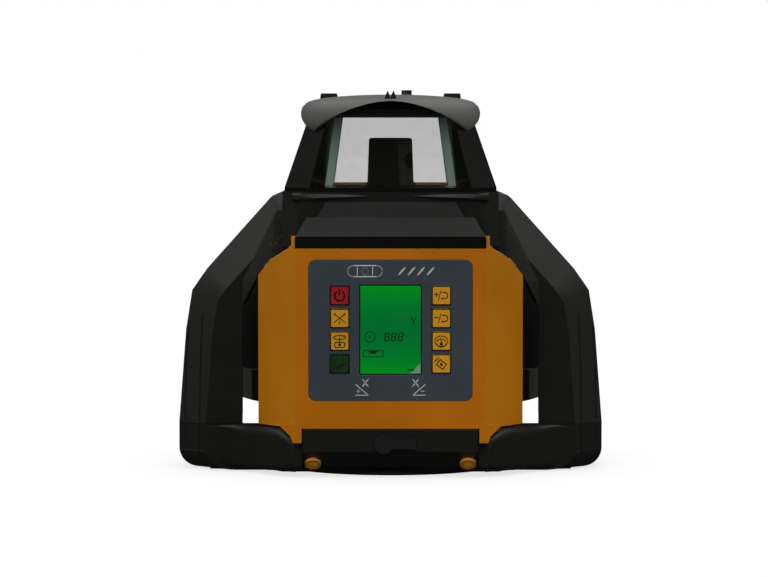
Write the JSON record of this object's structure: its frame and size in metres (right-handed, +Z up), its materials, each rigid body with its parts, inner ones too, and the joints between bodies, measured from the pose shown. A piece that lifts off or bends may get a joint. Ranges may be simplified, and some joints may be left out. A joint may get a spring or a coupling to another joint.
{
  "type": "rotary laser level",
  "caption": "Self-levelling rotary laser level with a glazed lantern, spinning head, keypad with display and two carrying handles.",
  "frame": {"origin": "centre of the tripod thread's mouth, on the base plane", "axes": "+Z up along the tripod thread and the rotor's axis, -Y towards the control panel's side, +X to the right when facing the panel"},
  "size_m": [0.2284, 0.166, 0.204],
  "materials": {
    "black_shell": "satin moulded texture",
    "orange_shell": "satin",
    "gloss_black": "gloss",
    "glass": "clear",
    "grey_rubber": "soft matt",
    "black_rubber": "matt",
    "panel_film": "fine matt film",
    "lcd": "backlit green",
    "lcd_body": "matt",
    "board": "satin",
    "key_red": "satin film",
    "key_green": "satin film",
    "key_amber": "satin film",
    "brass": "machined",
    "steel": "machined",
    "aluminium": "machined",
    "matt_black": "matt anodised",
    "battery_wrap": "shrink wrap"
  },
  "bodies": {
    "chassis": {"battery_bay": "black_shell", "battery_contacts": "brass", "battery_pack": "battery_wrap", "charging_socket": "lcd_body", "door_hinge_pin": "steel", "foot_caps": "orange_shell", "front_housing": "orange_shell", "gimbal_frame": "aluminium", "housing_screws": "steel", "keypad_panel": "panel_film", "lantern_floor": "gloss_black", "lantern_frame": "gloss_black", "lcd_module": "lcd_body", "lcd_window": "lcd", "level_motor_x": "steel", "lower_front_panel": "black_shell", "lower_housing": "black_shell", "main_board": "board", "pane_front": "glass", "pane_left": "glass", "pane_rear": "glass", "pane_right": "glass", "rear_housing": "orange_shell", "sight_front": "black_rubber", "sight_left": "black_rubber", "sight_rear": "black_rubber", "sight_right": "black_rubber", "thread_insert": "brass", "top_bumper": "grey_rubber", "upper_housing": "black_shell"},
    "gimbal_outer": {"gimbal_ring": "aluminium", "ring_pins": "steel", "level_motor_y": "steel"},
    "optics_unit": {"cradle": "aluminium", "cradle_pins": "steel", "laser_tube": "aluminium", "laser_diode": "steel", "collimator_lens": "glass", "tilt_sensors": "board", "spindle_bearings": "steel", "drive_motor": "steel", "drive_belt": "black_rubber"},
    "rotor": {"rotor_head": "matt_black", "rotor_shaft": "steel", "prism": "glass", "rotor_window": "glass"},
    "motor_spindle": {"motor_pulley": "steel"},
    "rod_x": {"level_plunger_x": "steel"},
    "rod_y": {"level_plunger_y": "steel"},
    "door": {"battery_door": "black_shell"},
    "latch": {"latch_knob": "black_shell"},
    "plug": {"jack_plug": "black_rubber"},
    "key_left_1": {"key_left_1": "key_red"},
    "key_left_2": {"key_left_2": "key_amber"},
    "key_left_3": {"key_left_3": "key_amber"},
    "key_left_4": {"key_left_4": "key_green"},
    "key_right_1": {"key_right_1": "key_amber"},
    "key_right_2": {"key_right_2": "key_amber"},
    "key_right_3": {"key_right_3": "key_amber"},
    "key_right_4": {"key_right_4": "key_amber"}
  },
  "joints": [
    {"name": "tilt_x", "type": "hinge", "parent": "chassis", "child": "gimbal_outer", "pos_m": [0, 0, 0.128], "axis": [1, 0, 0], "range_deg": [-5, 5]},
    {"name": "tilt_y", "type": "hinge", "parent": "gimbal_outer", "child": "optics_unit", "pos_m": [0, 0, 0.128], "axis": [0, 1, 0], "range_deg": [-5, 5]},
    {"name": "rotor_spin", "type": "hinge", "parent": "optics_unit", "child": "rotor", "pos_m": [0, 0, 0.142], "axis": [0, 0, 1], "continuous": true},
    {"name": "motor_spin", "type": "hinge", "parent": "optics_unit", "child": "motor_spindle", "pos_m": [0, 0.019, 0.142], "axis": [0, 0, 1], "continuous": true},
    {"name": "level_rod_x", "type": "slide", "parent": "chassis", "child": "rod_x", "axis": [0, 0, 1], "range_m": [-0.0037, 0.0037]},
    {"name": "level_rod_y", "type": "slide", "parent": "gimbal_outer", "child": "rod_y", "axis": [0, 0, 1], "range_m": [-0.0034, 0.0034]},
    {"name": "door_hinge", "type": "hinge", "parent": "chassis", "child": "door", "pos_m": [0, 0.0816, 0.0084], "axis": [-1, 0, 0], "range_deg": [0, 90]},
    {"name": "latch_turn", "type": "hinge", "parent": "door", "child": "latch", "pos_m": [0, 0.083, 0.033], "axis": [0, 1, 0], "range_deg": [0, 90]},
    {"name": "plug_swing", "type": "hinge", "parent": "chassis", "child": "plug", "pos_m": [0.01295, -0.07595, 0.018], "axis": [0, 0, 1], "range_deg": [0, 100], "stiffness_Nm_per_rad": 0.002},
    {"name": "key_left_1_press", "type": "slide", "parent": "chassis", "child": "key_left_1", "axis": [0, 1, 0], "range_m": [0, 0.0004], "stiffness_N_per_m": 600, "springref_m": -0.0002},
    {"name": "key_left_2_press", "type": "slide", "parent": "chassis", "child": "key_left_2", "axis": [0, 1, 0], "range_m": [0, 0.0004], "stiffness_N_per_m": 600, "springref_m": -0.0002},
    {"name": "key_left_3_press", "type": "slide", "parent": "chassis", "child": "key_left_3", "axis": [0, 1, 0], "range_m": [0, 0.0004], "stiffness_N_per_m": 600, "springref_m": -0.0002},
    {"name": "key_left_4_press", "type": "slide", "parent": "chassis", "child": "key_left_4", "axis": [0, 1, 0], "range_m": [0, 0.0004], "stiffness_N_per_m": 600, "springref_m": -0.0002},
    {"name": "key_right_1_press", "type": "slide", "parent": "chassis", "child": "key_right_1", "axis": [0, 1, 0], "range_m": [0, 0.0004], "stiffness_N_per_m": 600, "springref_m": -0.0002},
    {"name": "key_right_2_press", "type": "slide", "parent": "chassis", "child": "key_right_2", "axis": [0, 1, 0], "range_m": [0, 0.0004], "stiffness_N_per_m": 600, "springref_m": -0.0002},
    {"name": "key_right_3_press", "type": "slide", "parent": "chassis", "child": "key_right_3", "axis": [0, 1, 0], "range_m": [0, 0.0004], "stiffness_N_per_m": 600, "springref_m": -0.0002},
    {"name": "key_right_4_press", "type": "slide", "parent": "chassis", "child": "key_right_4", "axis": [0, 1, 0], "range_m": [0, 0.0004], "stiffness_N_per_m": 600, "springref_m": -0.0002}
  ],
  "couplings": [
    {"joint": "motor_spin", "follows": "rotor_spin", "ratio": 2},
    {"joint": "level_rod_x", "follows": "tilt_x", "m_per_rad": -0.041},
    {"joint": "level_rod_y", "follows": "tilt_y", "m_per_rad": 0.037}
  ]
}
